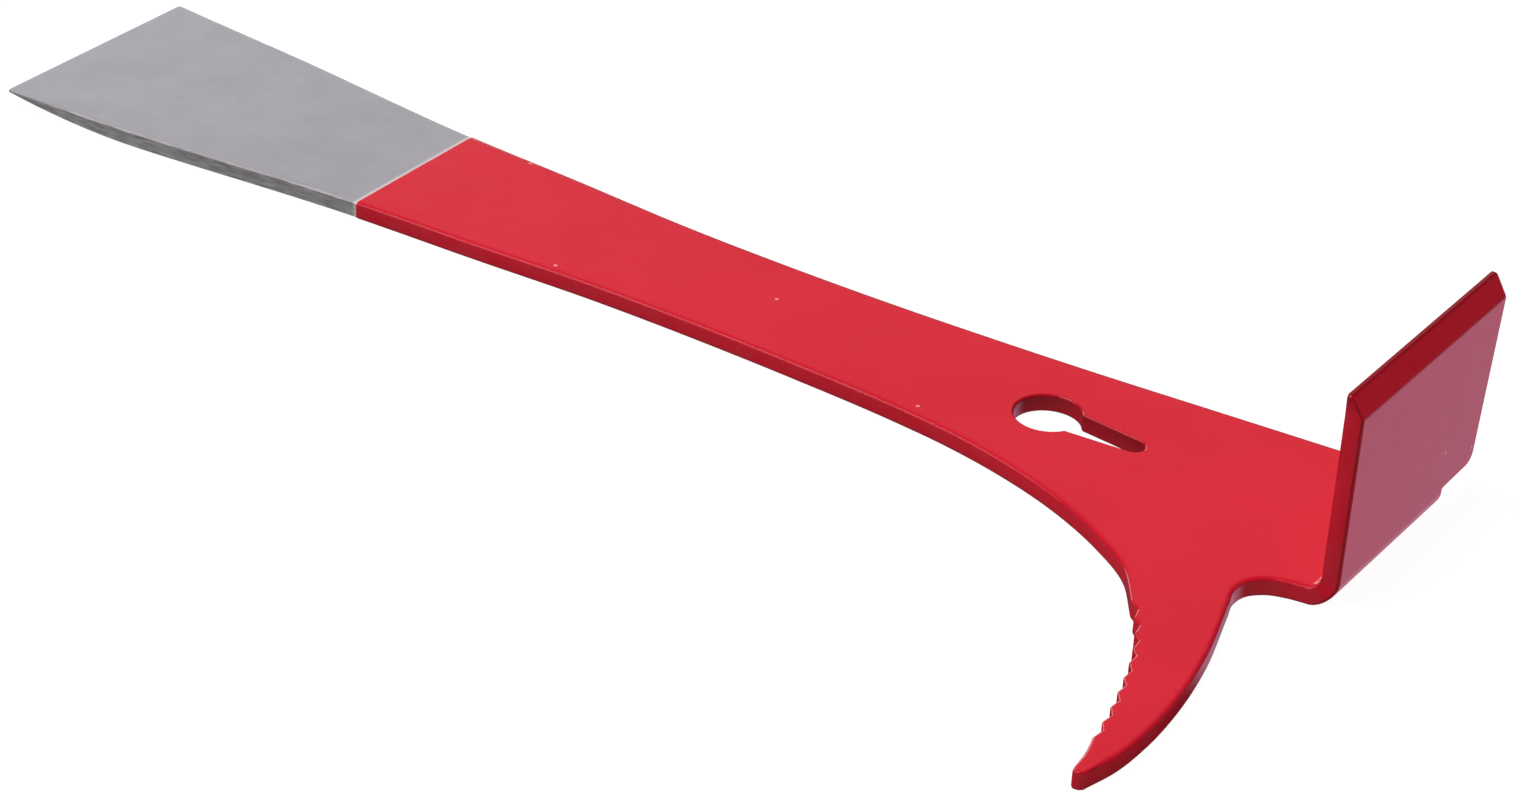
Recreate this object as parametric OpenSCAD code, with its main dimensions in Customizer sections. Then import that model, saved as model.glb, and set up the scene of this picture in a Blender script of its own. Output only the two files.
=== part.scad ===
// Hive tool: one stamped steel blank with a ground blade, a keyhole slot, a toothed claw and a
// scraper bent up at one end, and the paint coat that covers everything but the blade.
// Millimetres, +Z up. The tool lies flat. The origin is the centre of the keyhole's round end, on
// the painted underside. The blade points along -X, the claw along -Y and the scraper along +Z.

/* [Plate] */
// Thickness of the steel plate
steel_t = 3.0; // [2.5:0.1:3.5]
// Thickness of the paint coat
coat_t = 0.1; // [0.08:0.01:0.2]
// Distance from the keyhole back to the paint line
paint_line = 129.4; // [115:0.1:140]
// Distance that the keyhole lies nearer to the claw than the shank's middle line
keyhole_off = 0.5; // [0:0.1:1]

/* [Blade] */
// Distance from the keyhole back to the blade's edge
blade_reach = 204.6; // [202:0.1:215]
// Half width of the blade at its edge
blade_half_w = 22.7; // [22:0.1:24]
// Size of the blade's cut corners
blade_corner = 0.3; // [0.2:0.1:1]
// Length of the bevel ground under the blade
grind_l = 29.4; // [15:0.1:45]
// Blunt height left at the blade's edge
edge_land = 0.2; // [0.1:0.05:0.5]

/* [Keyhole] */
// Radius of the keyhole's round end, measured over the paint
keyhole_r = 5.5; // [4.5:0.1:6]
// Half width of the slot where it leaves the round end
slot_wide = 3.3; // [2.6:0.1:3.4]
// Half width of the slot at its closed end
slot_narrow = 1.8; // [1.4:0.1:2.4]
// Distance from the round end's centre to the slot's closed end
slot_l = 17.5; // [14:0.1:22]

/* [Claw] */
// Number of gripping teeth on the claw's inner edge
tooth_count = 10; // [4:1:14]
// Depth of each tooth
tooth_depth = 0.7; // [0.4:0.1:1.2]

/* [Scraper] */
// Inner radius of the bend
bend_r = 1.0; // [0.6:0.1:2]
// Lean of the scraper away from upright, in degrees
lean = 1.6; // [0:0.1:4]
// Height of the scraper's tip above the painted underside
scraper_h = 37; // [30:0.5:45]
// Blunt land at the scraper's tip
tip_land = 0.6; // [0.4:0.1:1.2]
// Height of the bevel ground behind the scraper's tip
tip_bevel = 3.3; // [2:0.1:5]
// Width of the scraper on the claw's side of the middle line, at its tip
tip_near = 18.5; // [17.5:0.1:20]
// Width of the scraper on the other side of the middle line, at its tip
tip_far = 29; // [27.5:0.1:31]

/* [Hidden] */

curve_steps = 7;                    // straight spans between two points of a smooth curve
grind_steps = 10;                   // straight spans of the ground bevel
bend_steps = 12;                    // straight spans of the bend
far_out = 400;                      // a length past the tool on every side
steel_top = coat_t + steel_t;       // top face of the steel
bend_x = 56.5;                      // start of the bend
bend_z = steel_top + bend_r;        // height of the bend's axis
bend_near = 19.0;                   // half widths of the plate where the bend starts
bend_far = 19.2;
neck_near = 17.0;                   // half widths where the bend ends and the scraper starts
neck_far = 16.9;
wing_far = 27.0;                    // far side of the scraper's wing, low down
neck_l = 0.3;                       // straight length of both sides above the bend's end
wing_low = 0.5;                     // height of the wing's underside above the bend's end
wing_r = 2.2;                       // radius of the wing's lower corner
scraper_l = (scraper_h - coat_t - bend_z + bend_r * sin(lean)) / cos(lean);

// Distance along the shank and its half width, from the blade's edge towards the claw
blade_end = [-blade_reach, blade_half_w - blade_corner];
shank = [
    [-blade_reach + blade_corner, blade_half_w],
    [-190, 21.8],
    [-178, 20.9],
    [-130, 16.0],
    [-105, 14.7],
    [-80, 13.2],
    [-60, 12.9],
    [-40, 13.2],
    [-20, 14.1]];
// The far edge from the shank to the relief beside the bend
far_root = [[0, 15.4], [20, 17.1], [40, 18.8], [50, 19.6], [bend_x, bend_far]];
// The near edge from the shank round to the claw's first tooth
near_root = [[-10, -15.1], [0, -16.9], [13, -20.7], [24, -25.8], [32, -31.2], [37.8, -38.6]];
// The claw's inner edge along the tips of its teeth, and on to its point
bite = [[37.8, -38.6], [41.9, -44.8], [44.9, -51], [47.2, -57.6], [49.2, -64.4], [50.8, -71.4]];
bite_end = [[50.8, -71.4], [51.9, -75.8], [52.4, -79.6]];
// The claw's smooth back
claw_back = [[54.3, -79.6], [55.8, -73.2], [56.2, -66.0], [55.5, -55.6], [53.4, -44.1], [49.2, -30]];
// The rounded notch between the claw and the bend
notch = [[49.2, -30], [48.1, -26.2], [48.5, -23.2], [50.6, -20.8], [53.8, -19.5], [bend_x, -bend_near]];

// ---- curves ----

// Direction of a smooth curve at point i of p, weighted by the spans on each side of it
function heading(p, i) =
    i == 0 ? (p[1] - p[0]) / norm(p[1] - p[0])
    : i == len(p) - 1 ? (p[i] - p[i - 1]) / norm(p[i] - p[i - 1])
    : let (a = norm(p[i] - p[i - 1]), b = norm(p[i + 1] - p[i]))
      ((p[i] - p[i - 1]) * b / a + (p[i + 1] - p[i]) * a / b) / (a + b);

// The point at t, from 0 to 1, along the span that starts at point i of p
function on_span(p, i, t) =
    let (d = norm(p[i + 1] - p[i]))
    p[i] * (1 + 2 * t) * (1 - t) * (1 - t) + p[i + 1] * (3 - 2 * t) * t * t
    + heading(p, i) * d * t * (1 - t) * (1 - t) - heading(p, i + 1) * d * t * t * (1 - t);

// A smooth curve through the points p, without the last of them
function smooth(p) =
    [for (i = [0 : len(p) - 2]) for (k = [0 : curve_steps - 1]) on_span(p, i, k / curve_steps)];

// Points on an arc about c, from angle a to angle b
function arc(c, r, a, b, steps) =
    [for (k = [0 : steps]) c + r * [cos(a + (b - a) * k / steps), sin(a + (b - a) * k / steps)]];

// The anticlockwise outline p moved outwards by g, corner by corner
function grown(p, g) =
    [for (i = [0 : len(p) - 1])
        let (u = p[i] - p[(i + len(p) - 1) % len(p)],
             v = p[(i + 1) % len(p)] - p[i],
             m = [u[1], -u[0]] / norm(u) + [v[1], -v[0]] / norm(v))
        p[i] + m * 2 * g / (m * m)];

// Teeth along the smooth curve p: tips on the curve, roots cut in between them, without the last tip
function teeth(p) =
    [for (k = [0 : tooth_count - 2]) for (share = [0, 0.5])
        let (s = (k + share) * (len(p) - 1) / (tooth_count - 1),
             i = floor(s),
             q = on_span(p, i, s - i),
             v = heading(p, i) * (1 - s + i) + heading(p, i + 1) * (s - i))
        q + [-v[1], v[0]] / norm(v) * (share > 0 ? tooth_depth : 0)];

// From a to b with a level start and end
function eased(a, b, t) = a + (b - a) * (1 - cos(180 * t)) / 2;

function mirrored(p) = [for (q = p) [q[0], -q[1]]];

function reversed(p) = [for (i = [len(p) - 1 : -1 : 0]) p[i]];

// ---- outlines, g is how far each is grown ----

// Plan of the plate, anticlockwise. It runs a little past the start of the bend.
function plate_plan(g) =
    let (past = 2)
    grown(concat(
        mirrored([blade_end]),
        smooth(concat(mirrored(shank), near_root)),
        teeth(bite),
        smooth(bite_end),
        [bite_end[2] + [0.3, -0.7], claw_back[0] + [-0.5, -0.5]],
        smooth(claw_back),
        smooth(notch),
        [[bend_x, -bend_near], [bend_x + past, -bend_near], [bend_x + past, bend_far], [bend_x, bend_far]],
        reversed(smooth(concat(shank, far_root))),
        [blade_end]), g);

// Side view of the plate, anticlockwise: flat on top, with the blade's bevel ground underneath
function plate_side(g) =
    let (fall = steel_t - edge_land, r = (grind_l * grind_l + fall * fall) / (2 * fall))
    grown(concat(
        arc([grind_l - blade_reach, coat_t + r], r, -90 - asin(grind_l / r), -90, grind_steps),
        [[far_out, coat_t], [far_out, steel_top], [-blade_reach, steel_top]]), g);

// The place, along X and Z, of a point of the leaning scraper: its distance from the bend's axis,
// then its height above the bend's end
function leaning(q) =
    [bend_x + q[0] * cos(lean) + q[1] * sin(lean), bend_z - q[0] * sin(lean) + q[1] * cos(lean)];

// Side view of the scraper, anticlockwise, cut off square at the bend's end
function scraper_side(g) =
    let (upright = grown([
        [bend_r, 0],
        [bend_r + steel_t, 0],
        [bend_r + steel_t, scraper_l - tip_bevel],
        [bend_r + tip_land, scraper_l],
        [bend_r, scraper_l]], g))
    [for (q = upright) leaning([q[0], max(q[1], 0)])];

// Front view of the scraper, anticlockwise. It runs a little past both its ends.
function scraper_front(g) =
    let (below = coat_t, above = scraper_h + 1, neck = bend_z + neck_l, wing = bend_z + wing_low)
    grown(concat(
        [[-neck_near, below], [neck_far, below], [neck_far, neck], [wing_far - wing_r, wing]],
        arc([wing_far - wing_r, wing + wing_r], wing_r, -75, 0, 5),
        [[tip_far, above], [-tip_near, above], [-neck_near, neck]]), g);

// ---- the tool's three stretches ----

module plate(g) {
    intersection() {
        translate([0, 0, -1]) linear_extrude(steel_t + 2) polygon(plate_plan(g));
        rotate([90, 0, 0]) linear_extrude(2 * far_out, center = true) polygon(plate_side(g));
        translate([bend_x - 2 * far_out, -far_out, -far_out]) cube(2 * far_out);
    }
}

// The bent stretch: rings of four corners that turn about the bend's axis and draw in on both sides
module bend(g) {
    corners = [for (k = [0 : bend_steps])
        let (t = k / bend_steps, a = -90 + (90 - lean) * t)
        for (c = [[bend_r - g, -1], [bend_r + steel_t + g, -1], [bend_r + steel_t + g, 1], [bend_r - g, 1]])
            [bend_x + c[0] * cos(a),
             c[1] < 0 ? -eased(bend_near, neck_near, t) - g : eased(bend_far, neck_far, t) + g,
             bend_z + c[0] * sin(a)]];
    walls = [for (k = [0 : bend_steps - 1]) for (c = [0 : 3])
        let (i = 4 * k, d = (c + 1) % 4)
        each [[i + c, i + 4 + c, i + 4 + d], [i + c, i + 4 + d, i + d]]];
    last = 4 * bend_steps;
    polyhedron(corners, concat([[0, 1, 2, 3]], walls, [[last + 3, last + 2, last + 1, last]]));
}

module scraper(g) {
    intersection() {
        rotate([90, 0, 0]) linear_extrude(2 * far_out, center = true) polygon(scraper_side(g));
        rotate([90, 0, 90]) linear_extrude(far_out) polygon(scraper_front(g));
    }
}

module keyhole(g) {
    end_r = slot_narrow + g;
    end_x = slot_l + g - end_r;
    translate([0, 0, -1]) {
        cylinder(h = steel_t + 2, r = keyhole_r + g, $fn = 96);
        linear_extrude(steel_t + 2)
            polygon([[0, -slot_wide - g], [end_x, -end_r], [end_x, end_r], [0, slot_wide + g]]);
        translate([end_x, 0, 0]) cylinder(h = steel_t + 2, r = end_r, $fn = 48);
    }
}

// The whole tool with its outside grown by g and its keyhole shrunk to match
module tool(g) {
    difference() {
        translate([0, keyhole_off, 0]) {
            plate(g);
            bend(g);
            scraper(g);
        }
        keyhole(coat_t - g);
    }
}

// ---- the separate pieces ----

module steel_blank() {
    color([0.66, 0.66, 0.67]) tool(0);
}

module red_coating() {
    color([0.82, 0.12, 0.18]) difference() {
        tool(coat_t);
        tool(0);
        translate([-paint_line - 2 * far_out, -far_out, -far_out]) cube(2 * far_out);
    }
}

steel_blank();
red_coating();
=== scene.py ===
"""Looks of the hive tool: a steel sheet, bent and ground, and the red coat over most of it.

Both pieces are drawn flat, as (along, across, height through the sheet), and then bent up. The
outline comes from the CAD frame. Lengths are in millimetres until the sheet is bent.
"""

import math

import bmesh
import bpy
from mathutils import Matrix, Vector, kdtree


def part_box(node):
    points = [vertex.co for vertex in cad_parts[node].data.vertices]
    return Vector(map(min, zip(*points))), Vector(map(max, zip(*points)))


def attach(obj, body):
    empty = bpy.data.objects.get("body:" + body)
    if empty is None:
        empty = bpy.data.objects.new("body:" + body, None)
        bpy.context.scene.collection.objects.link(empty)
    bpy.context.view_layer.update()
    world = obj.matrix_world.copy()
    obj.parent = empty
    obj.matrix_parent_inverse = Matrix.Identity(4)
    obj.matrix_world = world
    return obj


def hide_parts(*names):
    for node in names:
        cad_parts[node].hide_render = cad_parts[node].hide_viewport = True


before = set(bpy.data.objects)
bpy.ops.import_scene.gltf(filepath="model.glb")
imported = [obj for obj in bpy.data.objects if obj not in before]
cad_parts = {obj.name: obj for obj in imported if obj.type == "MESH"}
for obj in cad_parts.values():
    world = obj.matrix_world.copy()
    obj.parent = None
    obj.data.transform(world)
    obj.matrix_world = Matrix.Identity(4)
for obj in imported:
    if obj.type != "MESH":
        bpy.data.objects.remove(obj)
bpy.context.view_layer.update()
scene = bpy.context.scene
scene.view_settings.view_transform = "Standard"

# ---- the sheet, as in the CAD model ----

MM = 0.001
COAT = 0.1                                  # paint thickness
STEEL = 3.0                                 # plate thickness
TOP = COAT + STEEL                          # the steel's upper face
BEND_X = 56.5                               # start of the bend
BEND_R = TOP + 1.0                          # radius of the bend, from its axis to the underside
LEAN = math.radians(1.6)                    # lean of the scraper away from upright
END_TURN = math.pi / 2 - LEAN               # angle that the sheet turns through
BEND_END = BEND_X + END_TURN * BEND_R       # end of the bend, along the flat sheet
GRIND_L = 29.4                              # length of the bevel under the blade
EDGE_LAND = 0.2                             # height left at the blade's edge
BEVEL_L = 3.3                               # length of the bevel behind the scraper's tip
TIP_LAND = 0.6                              # thickness left at the scraper's tip
SAME_HEIGHT = 0.02                          # a CAD point this near the upper face lies on it

blade_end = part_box("steel_blank")[0].x / MM
paint_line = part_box("red_coating")[0].x / MM

# ---- finish of the edges ----

TIP_EDGE = 0.2                              # radius of the steel's edges at the blade's end
BARE_EDGE = 0.4                             # radius of the bare steel's edges further back
BARE_RUN = 15                               # length over which one turns into the other
BLANK_EDGE = 0.38                           # radius of the steel's edges under the paint
BLANK_RUN = 4                               # length past the paint line at which that is reached
ROLL = 0.6                                  # extra width that the press rolled the upper edges over
ROLL_START = 1.5                            # distance from a corner at which the roll starts
ROLL_FULL = 5                               # distance from a corner at which the roll is full
CORNER_R = 0.5                              # radius of an outer corner of the outline
NOTCH_R = 0.25                              # radius of an inner corner
CORNER = math.radians(22)                   # a sharper turn than this is a corner
CORNER_SHARE = 0.45                         # most of a side that the arc at one end may take
SOFT_CREASE = 0.3                           # half length of the crease that starts a bevel
LINED = 20                                  # slope times this, up to 1, is how lined a bevel is
LIP = 0.35                                  # length over which the paint thins to its line
LIP_THIN = 0.6                              # share of the paint's thickness that is lost there
INNER_GAP = 0.01                            # gap between the steel and the coat

# ---- fineness of the meshes ----

SHORT_SIDE = 0.4                            # a shorter side of the outline isn't divided
LONG_SIDE = 3                               # a longer one is divided more finely
STRAIGHT = 3                                # a side so many times longer than the next is straight
ARC_STEP = math.radians(14)                 # turn of one side of a rounded corner
STEEL_STEPS = 4                             # sides round an edge of the steel
COAT_STEPS = 6                              # sides round an edge of the coat
GRIND_CUTS = 16                             # sides along the blade's bevel
FIRST_CUT = 0.4                             # distance of the first of them from the blade's end
BEND_CUTS = 24                              # sides round the bend
STEEL_CREASE_CUTS = 4                       # sides along the steel's crease
COAT_CREASE_CUTS = 6                        # sides along the coat's crease
LIP_CUTS = (0.05, 0.15, 0.35, 0.65, 1)      # where the lip is cut, as shares of its length
ON_CUT = 0.01                               # a point this near a cut counts as on it

# ---- painted shade on the paint at its edges, from 0 to 1 ----

UPPER_SIDE = 0.15                           # on the upper half of a side
UPPER_TURN = 0.6                            # added as the upper edge turns over
LOWER_SIDE = 0.35                           # on the lower half of a side
LOWER_TURN = 2.5                            # added as the lower edge turns under
HOLE_SIDE = 0.7                             # on the side of a hole
GROUND_SIDE = 1.25                          # on a side, for each share of its height ground away

# ---- painted shadow beside the claw: a dark patch which only the gloss shows ----

GLOSS_DIM = 1.0                             # how much of the surroundings it hides
GLOSS_REACH = 24                            # distance from the tool at which it has faded out
GLOSS_END = -37                             # y at which it ends, up the claw
GLOSS_FADE = 14                             # length over which it fades in from there


# ---- flat sheet to CAD frame and back ----

def unrolled(p):
    """Where a point of the CAD frame lies on the flat sheet."""
    dx = p.x - BEND_X
    dz = p.z - BEND_R
    if dx <= 0:
        return Vector((p.x, p.y, p.z))
    turn = math.atan2(dx, -dz)
    if turn <= END_TURN:
        return Vector((BEND_X + turn * BEND_R, p.y, BEND_R - math.hypot(dx, dz)))
    along = dx * math.sin(LEAN) + dz * math.cos(LEAN)
    across = dx * math.cos(LEAN) - dz * math.sin(LEAN)
    return Vector((BEND_END + along, p.y, BEND_R - across))


def bent(p, normal):
    """The place and normal, in the CAD frame, of a point of the flat sheet."""
    turn = min(max((p.x - BEND_X) / BEND_R, 0), END_TURN)
    x = min(p.x, BEND_X)
    along = max(p.x - BEND_END, 0)
    r = BEND_R - p.z
    c = math.cos(turn)
    s = math.sin(turn)
    place = Vector((x + r * s + along * c, p.y, BEND_R - r * c + along * s))
    turned = Vector((normal.x * c - normal.z * s, normal.y, normal.x * s + normal.z * c))
    return place, turned.normalized()


def ground(s, g, tip):
    """How much the bevels raise the underside at s, and the slope there, on a sheet grown by g."""
    blade = blade_end + GRIND_L - s
    if blade > 0:
        fall = STEEL - EDGE_LAND
        r = (GRIND_L ** 2 + fall ** 2) / (2 * fall)
        blade = min(blade, GRIND_L)
        rest = math.sqrt(r * r - blade * blade)
        return r - rest, -blade / rest
    slope = (STEEL - TIP_LAND) / BEVEL_L
    x = s - tip + BEVEL_L - g * (math.sqrt(1 + slope * slope) - 1) / slope
    if x <= -SOFT_CREASE:
        return 0, 0
    if x < SOFT_CREASE:
        x = x + SOFT_CREASE
        return slope * x * x / (4 * SOFT_CREASE), slope * x / (2 * SOFT_CREASE)
    return slope * x, slope


# ---- outline ----

def sheet_loops(node):
    """Closed outlines of a CAD node's upper face on the flat sheet, anticlockwise, holes clockwise."""
    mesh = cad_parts[node].data
    mesh.calc_loop_triangles()
    place = {}
    keys = []
    for v in mesh.vertices:
        key = tuple(round(c / MM, 2) for c in v.co)
        flat = unrolled(v.co / MM)
        keys.append(key if abs(flat.z - TOP) < SAME_HEIGHT else None)
        place[key] = Vector((flat.x, flat.y))
    after = {}
    for t in mesh.loop_triangles:
        ring = [keys[v] for v in t.vertices]
        if None in ring or len(set(ring)) < 3:
            continue
        for a, b in zip(ring, ring[1:] + ring[:1]):
            if after.get(b) and a in after[b]:
                after[b].remove(a)
            else:
                after.setdefault(a, set()).add(b)
    loops = []
    while any(after.values()):
        start = next(k for k in after if after[k])
        loop = []
        here = start
        while after.get(here):
            loop.append(place[here])
            here = after[here].pop()
        loops.append(loop)
    return sorted(loops, key=len, reverse=True)


def turn_at(loop, i):
    """Angle that the outline turns through at point i."""
    before = loop[i] - loop[i - 1]
    return before.angle(loop[(i + 1) % len(loop)] - loop[i])


def tangent(loop, i):
    """Direction of the smooth curve that the outline stands for at point i."""
    u = loop[i] - loop[i - 1]
    v = loop[(i + 1) % len(loop)] - loop[i]
    a = u.length
    b = v.length
    if a > STRAIGHT * b:
        return u / a
    if b > STRAIGHT * a:
        return v / b
    return (u * (b / a) + v * (a / b)).normalized()


def smoothed(loop):
    """The outline with more points along its curved runs."""
    out = []
    sharp = [turn_at(loop, i) > CORNER for i in range(len(loop))]
    for i, p in enumerate(loop):
        j = (i + 1) % len(loop)
        q = loop[j]
        out.append(p)
        span = (q - p).length
        if sharp[i] or sharp[j] or span < SHORT_SIDE:
            continue
        steps = 3 if span < LONG_SIDE else 5
        a = tangent(loop, i) * span
        b = tangent(loop, j) * span
        for k in range(1, steps):
            t = k / steps
            ends = p * (1 + 2 * t) * (1 - t) ** 2 + q * (3 - 2 * t) * t * t
            out.append(ends + a * t * (1 - t) ** 2 - b * t * t * (1 - t))
    return out


def rounded(loop, corners):
    """The outline with each corner turned into an arc. The corners are added to the list."""
    out = []
    for i, p in enumerate(loop):
        turn = turn_at(loop, i)
        if turn <= CORNER:
            out.append(p)
            continue
        corners.append(p)
        u = p - loop[i - 1]
        v = loop[(i + 1) % len(loop)] - p
        side = 1 if u.x * v.y - u.y * v.x > 0 else -1
        radius = CORNER_R if side > 0 else NOTCH_R
        cut = min(radius * math.tan(turn / 2), CORNER_SHARE * u.length, CORNER_SHARE * v.length)
        r = cut / math.tan(turn / 2)
        start = p - u.normalized() * cut
        centre = start + Vector((-u.y, u.x)).normalized() * side * r
        steps = max(2, math.ceil(turn / ARC_STEP))
        for k in range(steps + 1):
            spin = Matrix.Rotation(side * turn * k / steps, 2)
            out.append(centre + spin @ (start - centre))
    return out


def mitres(loop):
    """For each point, the step that moves the outline outwards by one."""
    out = []
    for i, p in enumerate(loop):
        u = (p - loop[i - 1]).normalized()
        v = (loop[(i + 1) % len(loop)] - p).normalized()
        m = Vector((u.y + v.y, -u.x - v.x))
        out.append(m * 2 / m.length_squared)
    return out


# ---- meshes ----

def eased(a, b, t):
    """From a to b as t goes from 0 to 1, with a level start and end."""
    t = min(max(t, 0), 1)
    return a + (b - a) * t * t * (3 - 2 * t)


def edge_radius(s):
    """Radius of the steel's edges at s: worn round along the blade, but crisp at its end."""
    bare = eased(TIP_EDGE, BARE_EDGE, (s - blade_end) / BARE_RUN)
    return eased(bare, BLANK_EDGE, (s - paint_line) / BLANK_RUN)


def edge_profile(grown, radius, roll, steps):
    """Rings from the upper cap to the lower one: (outward, height, normal out, normal up).

    The lower edge is round. The upper one is rolled over, so it is wider than it is deep.
    """
    rings = []
    for edge, up, width in ((TOP - radius, 1, radius + roll), (COAT + radius, -1, radius)):
        for k in range(steps + 1):
            a = math.pi / 2 * (k if up > 0 else steps - k) / steps
            n = Vector((radius * math.sin(a), up * width * math.cos(a))).normalized()
            rings.append((
                width * (math.sin(a) - 1) + grown * n.x,
                edge + up * radius * math.cos(a) + grown * n.y,
                n.x,
                n.y))
    return rings


def painted_shade(height, normal_out, normal_up, in_hole):
    """How much painted shade darkens the paint at a point of the sheet's rim. It is 0 on the faces."""
    if height > STEEL / 2:
        dark = normal_out * (UPPER_SIDE * normal_out + UPPER_TURN * normal_up)
    else:
        dark = normal_out * min(1, LOWER_SIDE - LOWER_TURN * normal_up)
    if in_hole:
        return max(dark, HOLE_SIDE * normal_out)
    return dark


def cap(bm, rings, up):
    """Fills the flat face between the given rings of vertices."""
    edges = []
    for ring in rings:
        for a, b in zip(ring, ring[1:] + ring[:1]):
            edges.append(bm.edges.get((a, b)))
    made = bmesh.ops.triangle_fill(bm, use_beauty=True, edges=edges)
    for face in made["geom"]:
        if isinstance(face, bmesh.types.BMFace):
            face.normal_update()
            if face.normal.z * up < 0:
                face.normal_flip()


def flat_body(outlines, grown, steps, inside_out=False):
    """The closed sheet, still flat.

    Layer n keeps each vertex's normal, for the end. Layer side is 1 on the sheet's sides and 0 on
    its faces. Layer edge says how much painted shade darkens the paint.
    """
    loops, corners = outlines
    bm = bmesh.new()
    layer = bm.verts.layers.float_vector.new("n")
    edge = bm.verts.layers.float.new("edge")
    side = bm.verts.layers.float.new("side")
    tops = []
    bottoms = []
    for loop in loops:
        in_hole = loop is not loops[0]
        rings = [[] for k in range(2 * steps + 2)]
        for p, m in zip(loop, mitres(loop)):
            away = min((p - corner).length for corner in corners)
            roll = eased(0, ROLL, (away - ROLL_START) / (ROLL_FULL - ROLL_START))
            if in_hole:
                roll = 0
            profile = edge_profile(grown, edge_radius(p.x), roll, steps)
            for ring, (out, height, normal_out, normal_up) in zip(rings, profile):
                v = bm.verts.new((p.x + m.x * out, p.y + m.y * out, height))
                n = m.normalized() * normal_out
                v[layer] = (n.x, n.y, normal_up)
                # painted shade: the paint is darkened round its rim and on the sides of holes
                v[edge] = painted_shade(height, normal_out, normal_up, in_hole)
                v[side] = normal_out
                ring.append(v)
        for upper, lower in zip(rings, rings[1:]):
            for i in range(len(loop)):
                j = (i + 1) % len(loop)
                bm.faces.new((upper[i], lower[i], lower[j], upper[j]))
        tops.append(rings[0])
        bottoms.append(rings[-1])
    cap(bm, tops, 1)
    cap(bm, bottoms, -1)
    if inside_out:
        bmesh.ops.reverse_faces(bm, faces=bm.faces[:])
        for v in bm.verts:
            v[layer] = -v[layer]
    return bm


def slice_at(bm, places, clear=False):
    """Cuts the flat sheet across at each place along it. Clear drops the part before the cut."""
    for s in places:
        bmesh.ops.bisect_plane(
            bm,
            geom=bm.verts[:] + bm.edges[:] + bm.faces[:],
            dist=ON_CUT,
            plane_co=(s, 0, 0),
            plane_no=(1, 0, 0),
            clear_inner=clear)


def spread(a, b, steps):
    """Places from a to b at equal steps."""
    return [a + (b - a) * k / steps for k in range(steps + 1)]


def shape_up(bm, grown, tip):
    """Grinds the flat sheet's bevels and bends it up. Layer flat keeps where each point was."""
    layer = bm.verts.layers.float_vector["n"]
    side = bm.verts.layers.float["side"]
    edge = bm.verts.layers.float["edge"]
    flat = bm.verts.layers.float_vector.new("flat")
    low = COAT - grown
    high = TOP + grown
    for v in bm.verts:
        n = v[layer].copy()
        rise, slope = ground(v.co.x, grown, tip)
        share = (high - v.co.z) / (high - low)
        v[flat] = v.co * MM
        thinned = rise / (high - low)
        # painted shade: darker paint on the sides that the bevels grind away
        v[edge] = max(v[edge], v[side] * min(1, GROUND_SIDE * thinned))
        v[side] = max(v[side], min(1, LINED * abs(slope) * share))
        n.z /= 1 - thinned
        n.x -= slope * share * n.z
        v.co.z += rise * share
        place, n = bent(v.co, n)
        v.co = place * MM
        v[layer] = n


def finished(bm, name, material, node):
    """Turns the body into an object that stands for its CAD node."""
    layer = bm.verts.layers.float_vector["n"]
    bmesh.ops.triangulate(bm, faces=[f for f in bm.faces if len(f.verts) > 4])
    for f in bm.faces:
        f.smooth = True
    mesh = bpy.data.meshes.new(name)
    bm.verts.index_update()
    normals = [v[layer].normalized() for v in bm.verts]
    bm.verts.layers.float_vector.remove(layer)
    bm.to_mesh(mesh)
    bm.free()
    mesh.normals_split_custom_set_from_vertices(normals)
    mesh.materials.append(material)
    piece = bpy.data.objects.new(name, mesh)
    scene.collection.objects.link(piece)
    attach(piece, "root")
    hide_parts(node)


def crease_cuts(tip, cuts):
    """Places along the crease that starts the scraper's bevel."""
    middle = tip - BEVEL_L
    return spread(middle - SOFT_CREASE, middle + SOFT_CREASE, cuts)


def steel_body(outlines, tip):
    """The steel, cut across wherever it is ground or bent."""
    bm = flat_body(outlines, 0, STEEL_STEPS)
    slice_at(bm, spread(blade_end + FIRST_CUT, blade_end + GRIND_L, GRIND_CUTS))
    slice_at(bm, spread(BEND_X, BEND_END, BEND_CUTS))
    slice_at(bm, crease_cuts(tip, STEEL_CREASE_CUTS))
    shape_up(bm, 0, tip)
    return bm


def thin_lip(bm):
    """Thins the paint in a soft quarter round to its line across the shank."""
    layer = bm.verts.layers.float_vector["n"]
    for v in bm.verts:
        t = (v.co.x - paint_line) / LIP
        if t < 1:
            v.co -= v[layer] * LIP_THIN * COAT * (1 - math.sqrt(max(0, 1 - (1 - t) ** 2)))


def paint_body(outlines, tip):
    """The coat: an outer skin and an inner one, joined at the paint line."""
    skins = []
    for grown in (COAT, INNER_GAP):
        bm = flat_body(outlines, grown, COAT_STEPS, inside_out=grown < COAT)
        slice_at(bm, [paint_line], clear=True)
        if grown == COAT:
            slice_at(bm, [paint_line + LIP * x for x in LIP_CUTS])
            thin_lip(bm)
        slice_at(bm, spread(BEND_X, BEND_END, BEND_CUTS))
        slice_at(bm, crease_cuts(tip, COAT_CREASE_CUTS))
        shape_up(bm, grown, tip)
        skins.append(bm)
    outer, inner = skins
    mesh = bpy.data.meshes.new("inner_skin")
    inner.to_mesh(mesh)
    inner.free()
    outer.from_mesh(mesh)
    bpy.data.meshes.remove(mesh)
    rims = [e for e in outer.edges if e.is_boundary]
    bmesh.ops.bridge_loops(outer, edges=rims)
    return outer


# ---- materials ----

def shader(name):
    """A new material: its nodes, its links and its main shader."""
    material = bpy.data.materials.new(name)
    material.use_nodes = True
    tree = material.node_tree
    return material, tree.nodes, tree.links, tree.nodes["Principled BSDF"]


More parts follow.
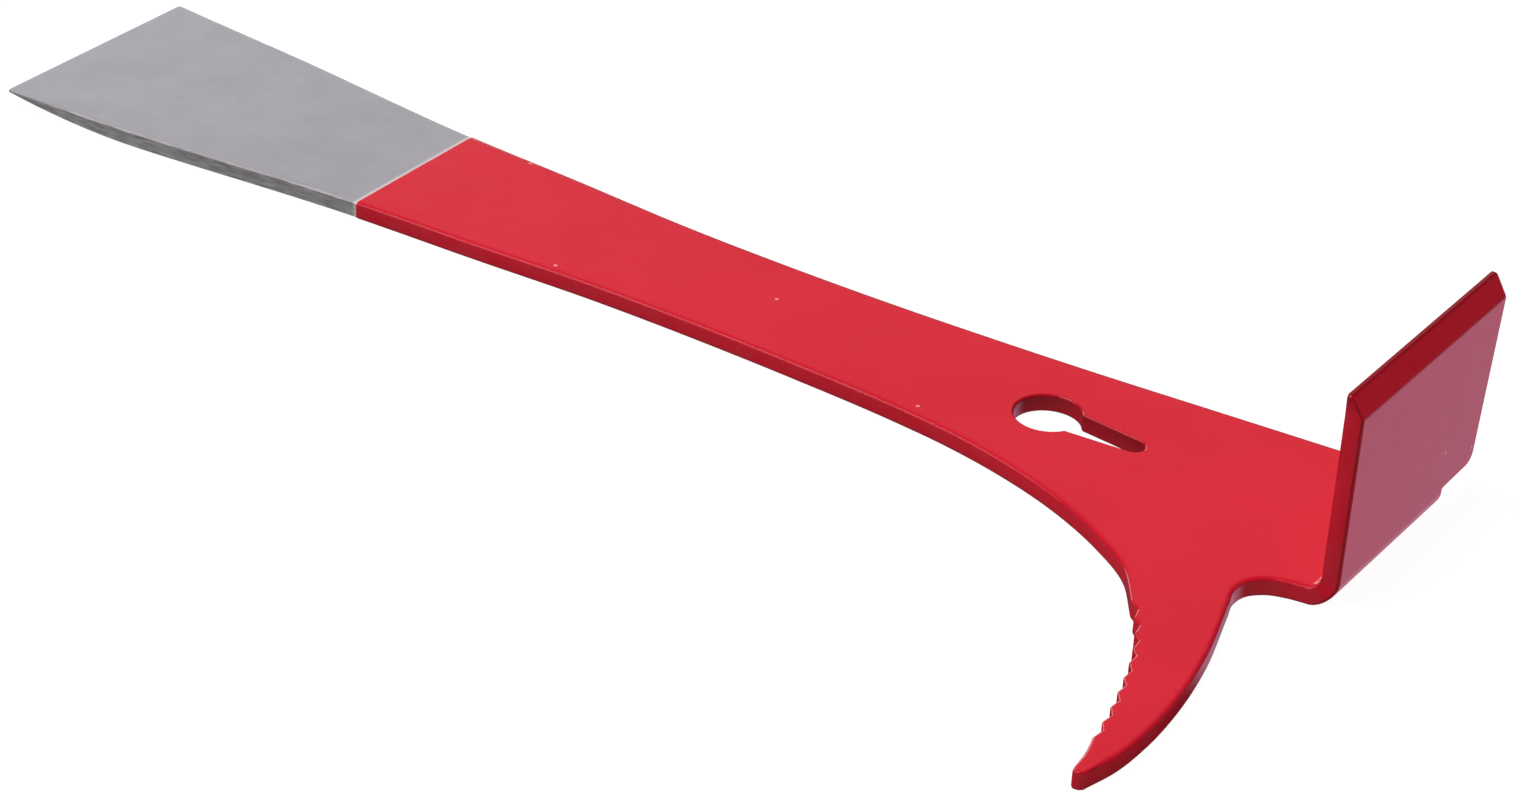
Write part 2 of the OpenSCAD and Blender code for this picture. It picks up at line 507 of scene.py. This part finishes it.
def noise(nodes, links, scale, detail, stretch=(1, 1, 1)):
    """A noise over the piece. Scale is in features per metre."""
    place = nodes.new("ShaderNodeTexCoord")
    spot = nodes.new("ShaderNodeMapping")
    spot.inputs["Scale"].default_value = stretch
    texture = nodes.new("ShaderNodeTexNoise")
    texture.inputs["Scale"].default_value = scale
    texture.inputs["Detail"].default_value = detail
    links.new(place.outputs["Object"], spot.inputs["Vector"])
    links.new(spot.outputs["Vector"], texture.inputs["Vector"])
    return texture.outputs["Fac"]


def ramp(nodes, links, value, low, high, to_low, to_high):
    """Value, from low to high, turned into a number from to_low to to_high."""
    step = nodes.new("ShaderNodeMapRange")
    step.inputs["From Min"].default_value = low
    step.inputs["From Max"].default_value = high
    step.inputs["To Min"].default_value = to_low
    step.inputs["To Max"].default_value = to_high
    links.new(value, step.inputs["Value"])
    return step.outputs["Result"]


def blend(nodes, links, share, a, b):
    """Colour a turned into colour b by share. Each is a colour or another node's output."""
    mix = nodes.new("ShaderNodeMix")
    mix.data_type = "RGBA"
    links.new(share, mix.inputs["Factor"])
    for socket, colour in ((mix.inputs[6], a), (mix.inputs[7], b)):
        if isinstance(colour, tuple):
            socket.default_value = (*colour, 1)
        else:
            links.new(colour, socket)
    return mix.outputs[2]


def bump(nodes, links, height, distance, strength, under=None):
    """A bump of that height, in metres, over another bump."""
    step = nodes.new("ShaderNodeBump")
    step.inputs["Distance"].default_value = distance
    step.inputs["Strength"].default_value = strength
    links.new(height, step.inputs["Height"])
    if under is not None:
        links.new(under, step.inputs["Normal"])
    return step.outputs["Normal"]


def dust(nodes, links):
    """A few specks caught in the paint: 1 on a speck, 0 elsewhere."""
    place = nodes.new("ShaderNodeAttribute")
    place.attribute_name = "flat"
    cells = nodes.new("ShaderNodeTexVoronoi")
    cells.voronoi_dimensions = "2D"
    cells.inputs["Scale"].default_value = 30
    links.new(place.outputs["Vector"], cells.inputs["Vector"])
    return ramp(nodes, links, cells.outputs["Distance"], 0.006, 0.012, 1, 0)


def red_paint():
    """Glossy enamel with a slight orange peel and a few specks, and painted shade at the edges."""
    material, nodes, links, main = shader("red_paint")
    cloud = ramp(nodes, links, noise(nodes, links, 45, 3), 0.3, 0.7, 0, 1)
    colour = blend(nodes, links, cloud, (0.55, 0.0065, 0.021), (0.59, 0.0085, 0.026))
    edge = nodes.new("ShaderNodeAttribute")
    edge.attribute_name = "edge"
    # painted shade: the paint turns dark at its edges and in holes
    painted_edge_shade = ramp(nodes, links, edge.outputs["Fac"], 0, 1, 0, 0.75)
    colour = blend(nodes, links, painted_edge_shade, colour, (0.12, 0.001, 0.005))
    nib = dust(nodes, links)
    colour = blend(nodes, links, nib, colour, (0.74, 0.26, 0.28))
    links.new(colour, main.inputs["Base Color"])
    rough = ramp(nodes, links, noise(nodes, links, 260, 4), 0.3, 0.7, 0.16, 0.24)
    links.new(rough, main.inputs["Roughness"])
    peel = bump(nodes, links, noise(nodes, links, 650, 1), 0.00002, 0.3)
    links.new(bump(nodes, links, nib, 0.00005, 0.5, peel), main.inputs["Normal"])
    main.inputs["IOR"].default_value = 1.5
    return material


def satin_steel():
    """Satin steel: mottled faces, and grind lines along its sides and the blade's bevel."""
    material, nodes, links, main = shader("satin_steel")
    cloud = ramp(nodes, links, noise(nodes, links, 110, 5), 0.35, 0.65, 0, 1)
    face = blend(nodes, links, cloud, (0.43, 0.415, 0.45), (0.46, 0.445, 0.48))
    streak = ramp(nodes, links, noise(nodes, links, 1500, 3, (0.2, 1, 1.4)), 0.35, 0.65, 0, 1)
    lined = blend(nodes, links, streak, (0.30, 0.285, 0.295), (0.52, 0.495, 0.51))
    side = nodes.new("ShaderNodeAttribute")
    side.attribute_name = "side"
    turned = ramp(nodes, links, side.outputs["Fac"], 0.2, 0.7, 0, 1)
    colour = blend(nodes, links, turned, face, lined)
    # a pale pinkish band on the steel just before the paint line
    colour = blend(nodes, links, pale_band(nodes, links), colour, (0.95, 0.86, 0.88))
    links.new(colour, main.inputs["Base Color"])
    rough = ramp(nodes, links, noise(nodes, links, 300, 4), 0.3, 0.7, 0.50, 0.60)
    links.new(rough, main.inputs["Roughness"])
    fine = bump(nodes, links, noise(nodes, links, 2500, 2, (0.2, 1, 1)), 0.00001, 0.3)
    links.new(fine, main.inputs["Normal"])
    main.inputs["Metallic"].default_value = 0.5
    return material


def pale_band(nodes, links):
    """High along a pale band on the steel just before the paint line, and 0 before it."""
    place = nodes.new("ShaderNodeTexCoord")
    axes = nodes.new("ShaderNodeSeparateXYZ")
    links.new(place.outputs["Object"], axes.inputs["Vector"])
    start = (paint_line - 0.9) * MM
    full = (paint_line - 0.1) * MM
    return ramp(nodes, links, axes.outputs["X"], start, full, 0, 0.8)


def pale_floor():
    """Bright of itself, so that it looks white and shadows on it are faint."""
    material, nodes, links, main = shader("pale_floor")
    cloud = ramp(nodes, links, noise(nodes, links, 3, 2), 0.3, 0.7, 0, 1)
    colour = blend(nodes, links, cloud, (0.08, 0.08, 0.08), (0.09, 0.09, 0.09))
    links.new(colour, main.inputs["Base Color"])
    main.inputs["Emission Color"].default_value = (1, 1, 1, 1)
    main.inputs["Emission Strength"].default_value = 0.97
    main.inputs["Roughness"].default_value = 0.9
    main.inputs["Specular IOR Level"].default_value = 0.1
    return material


# ---- camera, light and floor ----

def camera():
    """The camera looks down at the tool from beyond the claw, on the scraper's side."""
    azimuth = math.radians(33.583)
    elevation = math.radians(30.973)
    roll = math.radians(2.767)
    aim = Vector((-36.55, -28.48, 5)) * MM
    distance = 630.04 * MM
    level = Vector((math.cos(azimuth), math.sin(azimuth), 0))
    forward = Vector((
        -math.sin(azimuth) * math.cos(elevation),
        math.cos(azimuth) * math.cos(elevation),
        -math.sin(elevation)))
    upright = level.cross(forward)
    right = level * math.cos(roll) + upright * math.sin(roll)
    up = right.cross(forward)
    data = bpy.data.cameras.new("camera")
    data.sensor_width = 36
    data.lens = 95.11
    data.clip_start = 0.01
    data.clip_end = 100
    eye = bpy.data.objects.new("camera", data)
    turned = Matrix((right, up, -forward)).transposed().to_4x4()
    eye.matrix_world = Matrix.Translation(aim - forward * distance) @ turned
    scene.collection.objects.link(eye)
    scene.camera = eye


def softbox(name, place, size, power, glossy):
    """A square soft light that faces the tool, which either lights it or shows in its gloss.

    Place and size are in metres, and power is in watts.
    """
    data = bpy.data.lights.new(name, "AREA")
    data.shape = "SQUARE"
    data.size = size
    data.energy = power
    light = bpy.data.objects.new(name, data)
    light.location = place
    light.rotation_euler = (-Vector(place)).to_track_quat("-Z", "Y").to_euler()
    light.visible_glossy = glossy
    light.visible_diffuse = not glossy
    scene.collection.objects.link(light)


def surroundings():
    """Dim all round, but for a mauve patch low behind the tool that the scraper's face mirrors."""
    world = bpy.data.worlds.new("surroundings")
    world.use_nodes = True
    scene.world = world
    nodes = world.node_tree.nodes
    links = world.node_tree.links
    place = nodes.new("ShaderNodeTexCoord")
    dot = nodes.new("ShaderNodeVectorMath")
    dot.operation = "DOT_PRODUCT"
    mauve_side = Vector((0.29, 0.80, -0.53))
    dot.inputs[1].default_value = mauve_side.normalized()
    links.new(place.outputs["Generated"], dot.inputs[0])
    tone = nodes.new("ShaderNodeValToRGB")
    stops = (
        (0, (0.01, 0.01, 0.01)),
        (0.40, (0.02, 0.02, 0.02)),
        (0.60, (0.05, 0.05, 0.05)),
        (0.90, (0.04, 0.04, 0.05)),
        (0.955, (0.38, 0.26, 0.37)),
        (0.985, (0.79, 0.52, 0.76)))
    for k, (at, colour) in enumerate(stops):
        stop = tone.color_ramp.elements[k] if k < 2 else tone.color_ramp.elements.new(at)
        stop.position = at
        stop.color = (*colour, 1)
    links.new(ramp(nodes, links, dot.outputs["Value"], -1, 1, 0, 1), tone.inputs["Fac"])
    links.new(tone.outputs["Color"], nodes["Background"].inputs["Color"])
    nodes["Background"].inputs["Strength"].default_value = 1


def floor():
    """A wide floor just under the tool, left out of its gloss."""
    bm = bmesh.new()
    bmesh.ops.create_grid(bm, x_segments=8, y_segments=8, size=6)
    mesh = bpy.data.meshes.new("floor")
    bm.to_mesh(mesh)
    bm.free()
    mesh.materials.append(pale_floor())
    sheet = bpy.data.objects.new("floor", mesh)
    sheet.location.z = -0.05 * MM
    sheet.visible_glossy = False
    scene.collection.objects.link(sheet)


def gloss_shadow(loops):
    """A dark sheet on the floor that only reflections see: a painted shadow that darkens the claw's
    side.
    """
    tree = kdtree.KDTree(sum(len(p) for p in loops))
    for k, p in enumerate(p for loop in loops for p in loop):
        tree.insert((min(p.x, BEND_X + BEND_R), p.y, 0), k)
    tree.balance()
    bm = bmesh.new()
    bmesh.ops.create_grid(bm, x_segments=130, y_segments=64, size=1)
    middle = Vector((-70, -25))
    half = Vector((165, 80))
    dim = bm.verts.layers.float.new("dim")
    for v in bm.verts:
        v.co = Vector((middle.x + half.x * v.co.x, middle.y + half.y * v.co.y, 0))
        away = tree.find(v.co)[2]
        up_claw = eased(0, 1, (GLOSS_END - v.co.y) / GLOSS_FADE)
        v[dim] = eased(GLOSS_DIM, 0, away / GLOSS_REACH) * up_claw
        v.co *= MM
    mesh = bpy.data.meshes.new("gloss_shadow")
    bm.to_mesh(mesh)
    bm.free()
    material, nodes, links, main = shader("gloss_shadow")
    main.inputs["Base Color"].default_value = (0, 0, 0, 1)
    main.inputs["Specular IOR Level"].default_value = 0
    share = nodes.new("ShaderNodeAttribute")
    share.attribute_name = "dim"
    links.new(share.outputs["Fac"], main.inputs["Alpha"])
    mesh.materials.append(material)
    card = bpy.data.objects.new("gloss_shadow", mesh)
    card.location.z = -0.02 * MM
    card.visible_camera = False
    card.visible_diffuse = False
    card.visible_shadow = False
    scene.collection.objects.link(card)


camera()
surroundings()
floor()
softbox("overhead", (-0.55, -0.35, 1.7), 1.2, 48, False)
softbox("front", (-0.7, -0.75, 1.05), 1.3, 7, True)
softbox("back", (-0.75, 1.1, 0.8), 1.2, 1.1, True)
softbox("left", (-1.4, 0.5, 0.25), 0.5, 2.2, True)
softbox("corner", (-1.11, 1.0, 0.15), 0.5, 2.2, True)

corners = []
loops = [rounded(smoothed(p), corners) for p in sheet_loops("steel_blank")]
gloss_shadow(loops)
outlines = (loops, corners)
scraper_tip = max(p.x for p in loops[0])
finished(steel_body(outlines, scraper_tip), "blank", satin_steel(), "steel_blank")
finished(paint_body(outlines, scraper_tip), "coat", red_paint(), "red_coating")
